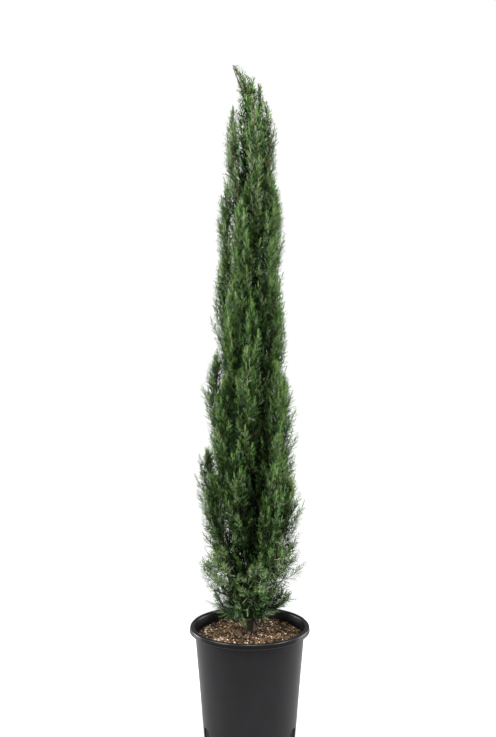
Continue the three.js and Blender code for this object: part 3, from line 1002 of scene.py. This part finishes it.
def bough_feathers(path):
    """Feathers round the outer part of a bough, leaning out and along it. They hide its end."""
    share = np.linspace(BARE_SHARE, 1.0, BOUGH_FEATHERS)
    start = follow(np.linspace(0, 1, len(path)), path, share)
    along = np.tile(unit(path[-1] - path[0]), (BOUGH_FEATHERS, 1))
    turn = np.arange(BOUGH_FEATHERS) * GOLDEN_ANGLE
    level = unit(np.cross(along, UP))
    aside = level * np.cos(turn)[:, None] + np.cross(level, along) * np.sin(turn)[:, None]
    length = rng.uniform(*BOUGH_FEATHER_LENGTHS, BOUGH_FEATHERS)[:, None]
    return bent(start, start + (aside * 0.65 + along * 0.75) * length, 0.6, 0.45)


# %% Sprigs
SPRIGS = {  # their spacing, mean length, shoots' half width, and how much they turn up
    "foot": (0.0031, 0.026, 0.00078, -0.08),
    "skirt": (0.0031, 0.023, 0.0009, 0.04),
    "bough": (0.0031, 0.023, 0.0009, 0.0),
    "top": (0.0031, 0.0185, 0.00082, 0.12),
    "leader": (0.0031, 0.0165, 0.00072, 0.12),
    "inner": (0.0062, 0.026, 0.0016, 0.12),
}
USUAL_SPRIGS = (0.0031, 0.021, 0.0009, 0.12)
FULL_FEATHER = 0.034  # a shorter feather, as at a plume's tip, carries shorter sprigs
SHORTEST = 0.45  # of the mean length
END_SPRIG = 1.75  # how much longer a feather's last sprig is
FIRST_SPRIG = 0.12  # share of a feather under its first sprig
SPRIG_LEAN = 1.0  # in radians at a feather's foot
LEAN_LOST = 0.45  # by its end


def square_to(heading, turn):
    """Directions at right angles to a heading, at a turn round it."""
    level = unit(np.cross(heading, UP) + NUDGE)
    other = np.cross(heading, level)
    return level * np.cos(turn)[:, None] + other * np.sin(turn)[:, None]


def sprigs_of(feathers, spacing, mean_length, lift):
    """Sprigs along all feathers at once. They get shorter and lean less towards a feather's end, where one
    carries on in line with it. Returns places, headings, flat directions, lengths, feathers and shares."""
    length = np.linalg.norm(feathers[:, 2] - feathers[:, 0], axis=1)
    counts = np.maximum((length / spacing).astype(int), 2)
    owner = np.repeat(np.arange(len(feathers)), counts)
    order = np.arange(len(owner)) - np.repeat(np.cumsum(counts) - counts, counts)
    share = (order + 1.0) / counts[owner]
    place, heading = curve_at(feathers[owner], FIRST_SPRIG + (1 - FIRST_SPRIG) * share)
    turn = order * GOLDEN_ANGLE + owner * 2.4 + rng.uniform(-0.3, 0.3, len(owner))
    last = order == counts[owner] - 1
    lean = np.where(last, 0.05, SPRIG_LEAN - LEAN_LOST * share)
    aside = square_to(heading, turn)
    heading = unit(heading * np.cos(lean)[:, None] + aside * np.sin(lean)[:, None] + lift * UP)
    room = np.clip(length / FULL_FEATHER, SHORTEST, 1.0)[owner]
    size = mean_length * room * (1.3 - 0.7 * share) * rng.uniform(0.75, 1.25, len(owner))
    size = np.where(last, END_SPRIG * size, size)
    flat = square_to(heading, rng.uniform(0, 2 * math.pi, len(owner)))
    return place, heading, flat, size, owner, share


# %% Shoots
SHOOTS = 6  # side shoots on a sprig
LOWEST_SHOOT = 0.1  # share of a sprig under its first side shoot
SHOOT_SPAN = 0.62  # share of it that carries them
SHOOT_LEAN = (0.7, 0.15)  # in radians at a sprig's foot, and how much less at its tip
SHOOT_LENGTH = (0.46, 0.24)  # shares of the sprig's length at its foot, and how much less at its tip
SCALE = np.array([[0, 0, 0], [1, 0.6, 0.4], [-1, 0.6, 0.4], [0, 0, 1.0]])
SCALE_FACES = np.array([[0, 2, 1], [2, 3, 1], [0, 1, 3], [0, 3, 2]])
SPRIG_FACES = (SHOOTS + 1) * len(SCALE_FACES)
SPRIG_POINTS = (SHOOTS + 1) * len(SCALE)


def shoots_of(place, heading, flat, size, half_width):
    """Closed pointed blades for each sprig: one along its own line, and side shoots to left and right in
    turn, which shorten towards the tip. Returns points and faces."""
    starts, lines = [place], [heading * size[:, None]]
    for k in range(SHOOTS):
        share = LOWEST_SHOOT + SHOOT_SPAN * k / (SHOOTS - 1)
        lean = SHOOT_LEAN[0] - SHOOT_LEAN[1] * share
        line = heading * math.cos(lean) + flat * (math.sin(lean) * (-1) ** k)
        length = size * (SHOOT_LENGTH[0] - SHOOT_LENGTH[1] * share) * rng.uniform(0.8, 1.2, len(size))
        starts.append(place + heading * (size * share)[:, None])
        lines.append(line * length[:, None])
    starts = np.stack(starts, 1).reshape(-1, 3)
    lines = np.stack(lines, 1).reshape(-1, 3)
    side = unit(np.cross(lines, UP) + NUDGE) * half_width
    back = unit(np.cross(lines, side)) * half_width
    return copies(SCALE, SCALE_FACES, starts, np.stack([side, back, lines], axis=1))


# %% Greens
GREENS = {
    "shaded_green": (0.010, 0.024, 0.007),
    "deep_green": (0.028, 0.070, 0.017),
    "cypress_green": (0.072, 0.152, 0.035),
    "fresh_green": (0.140, 0.250, 0.072),
    "yellow_green": (0.225, 0.330, 0.120),
    "blue_green": (0.085, 0.165, 0.090),
    "grey_green_sheen": (0.215, 0.280, 0.160),
    "dead_brown": (0.190, 0.095, 0.050),
}
TONE_STEPS = [-0.9, -0.05, 0.85, 2.1]  # between the first five greens
TONE_PATCHES = wave_field(0.07)
# Painted light and shade: the tone rises with height, so the lower crown is painted darker and the top
# lighter.
PAINTED_LIGHT_BY_HEIGHT = 1.3  # tone for each metre
EVEN_HEIGHT = 1.0  # where height makes no difference
PATCH_TONE = 0.4
FEATHER_TONE = 0.4  # how much whole feathers differ at random
# Painted light on the outward ridge of a plume, painted shade in the valleys between plumes.
RIDGE_PAINTED_LIGHT = 0.9
# Painted highlight at a feather's tip and painted shade towards its foot inside the crown.
TIP_PAINTED_LIGHT = 2.7
SPRIG_TONE = 0.7  # how much single sprigs differ at random
LOW_TONE = 0.7
INNER_SHADE = ([1.1, 1.4], [1.3, 0.5])  # heights, and how much darker the inner sprigs are there
# Grey-green sprigs are a painted sheen, laid only over the lighter tones.
GREY_SHEEN_SHARE = {"foot": 0.62, "bough": 0.5, "skirt": 0.45, "high": 0.18, "top": 0.4, "leader": 0.5}
EVEN_GREY = 0.1
BLUE_SHARE = 0.06
FOOT_BLUE = 0.32
DEAD_SHARE = 0.012
LEAVES = [plain_finish(name, colour, 0.7, 0.08) for name, colour in GREENS.items()]
TINT = {name: number for number, name in enumerate(GREENS)}


def tints_of(tier, feathers, facing, owner, share):
    """One of the greens for each sprig. Painted light and shade: the crown gets lighter with height, a plume
    towards the ridge that faces outwards and darker in the valleys, and a feather towards its tip. The
    grey-green is a painted sheen on some lighter sprigs. Tones also drift over the crown in patches a hand's
    breadth wide, and a few sprigs differ for no reason."""
    end = feathers[:, 2]
    patches = ripples(end * [1, 1, 0.35], TONE_PATCHES)
    tone = PATCH_TONE * patches + rng.normal(0, FEATHER_TONE, len(feathers))
    tone += PAINTED_LIGHT_BY_HEIGHT * (end[:, 2] - EVEN_HEIGHT) + RIDGE_PAINTED_LIGHT * facing - 0.5
    tone = tone[owner] + TIP_PAINTED_LIGHT * share - 1.15 + rng.normal(0, SPRIG_TONE, len(owner))
    if tier == "inner":
        tone = tone - np.interp(end[owner, 2], *INNER_SHADE)
    if tier in ("skirt", "bough", "foot"):
        tone = tone + LOW_TONE
    tint = np.digitize(tone, TONE_STEPS)
    odd = rng.random(len(owner))
    tint = np.where((odd < GREY_SHEEN_SHARE.get(tier, EVEN_GREY)) & (tint > 1), TINT["grey_green_sheen"], tint)
    tint = np.where((odd > 1 - BLUE_SHARE) & (tint > 1), TINT["blue_green"], tint)
    if tier == "foot":
        tint = np.where(odd < FOOT_BLUE, TINT["blue_green"], tint)
    dead = (rng.random(len(owner)) < DEAD_SHARE) & (share < 0.5)
    return np.where(dead, TINT["dead_brown"], tint)


# %% Grow every tier
TRIANGLE_LIMIT = 190000
leaf_triangles = 0


def spray_pieces(tier, feathers, facing=0.0, replaced=()):
    """Leaves on a tier's feathers, joined into as few pieces as the limit on triangles allows. The first
    of them takes the place of the replaced nodes. Returns the number of triangles."""
    spacing, length, half_width, lift = SPRIGS.get(tier, USUAL_SPRIGS)
    place, heading, flat, size, owner, share = sprigs_of(feathers, spacing, length, lift)
    tint = np.repeat(tints_of(tier, feathers, facing, owner, share), SPRIG_FACES)
    points, faces = shoots_of(place, heading, flat, size, half_width)
    parts = math.ceil(len(faces) / TRIANGLE_LIMIT)
    cuts = np.linspace(0, len(place), parts + 1).astype(int)
    for number, (a, b) in enumerate(zip(cuts[:-1], cuts[1:])):
        own_points = points[a * SPRIG_POINTS : b * SPRIG_POINTS]
        own_faces = faces[a * SPRIG_FACES : b * SPRIG_FACES] - a * SPRIG_POINTS
        own_tint = tint[a * SPRIG_FACES : b * SPRIG_FACES]
        piece = mesh_piece(f"{tier}_sprays_{number + 1}", own_points, own_faces, LEAVES, own_tint, False)
        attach(piece, "root")
        if number == 0 and replaced:
            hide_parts(*replaced)
    print(f"{tier}: {len(feathers)} feathers, {len(place)} sprigs, {len(faces)} triangles in {parts}")
    return len(faces)


all_limbs, all_feathers = [], []
for tier, found in masses.items():
    grown = [feathers_of(limb, *HABIT[tier]) for limb in found]
    feathers, facing = (np.concatenate(part) for part in zip(*grown))
    leaf_triangles += spray_pieces(tier, feathers, facing, [limb["node"] for limb in found])
    all_limbs += [limb["route"] for limb in found]
    all_feathers.append(feathers)
all_feathers.append(np.concatenate([bough_feathers(path) for path in bough_paths]))
leaf_triangles += spray_pieces("bough", all_feathers[-1])
all_feathers.append(inner_feathers())
leaf_triangles += spray_pieces("inner", all_feathers[-1])
print("leaf triangles:", leaf_triangles)

# %% [markdown]
# ## Limbs and twigs
#
# Between the sprays the wood shows as thin brown lines. Every limb and every feather's axis is a tube
# that tapers along its route.


# %% Limbs and twigs
WOOD = plain_finish("young_wood", (0.070, 0.050, 0.030), 0.75, 0.3)
LIMB_ROWS = 26
LIMB_RADII = (0.0034, 0.0007)
TWIG_ROWS = 4
TWIG_RADII = (0.0011, 0.0005)
limb_paths = np.stack([along_route(route, np.linspace(0, 1, LIMB_ROWS))[0] for route in all_limbs])
limbs = mesh_piece("limbs", *tapering_tubes(limb_paths, LIMB_RADII, 8), [BARK])
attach(limbs, "root")

feathers = np.concatenate(all_feathers)
shares = np.linspace(0, 1, TWIG_ROWS)
twig_paths = np.stack([curve_at(feathers, np.full(len(feathers), s))[0] for s in shares], axis=1)
twigs = mesh_piece("twigs", *tapering_tubes(twig_paths, TWIG_RADII, 4), [WOOD])
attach(twigs, "root")
print(f"limbs: {len(limb_paths)}, twigs: {len(twig_paths)}")

# %% Floor
FLOOR_RADIUS = 0.9
FLOOR_COLUMNS = 96
rim = circle(FLOOR_COLUMNS) * FLOOR_RADIUS
floor_data = bpy.data.meshes.new("floor")
floor_data.from_pydata(rim.tolist(), [], [list(range(FLOOR_COLUMNS))])
floor = bpy.data.objects.new("floor", floor_data)
bpy.context.scene.collection.objects.link(floor)
paper, _, paper_shader = principled("pale_paper", 0.9, 0.1)
paper_shader.inputs["Base Color"].default_value = (0.92, 0.92, 0.92, 1.0)
paper_shader.inputs["Emission Color"].default_value = (1.0, 1.0, 1.0, 1.0)
paper_shader.inputs["Emission Strength"].default_value = 0.15
floor_data.materials.append(paper)
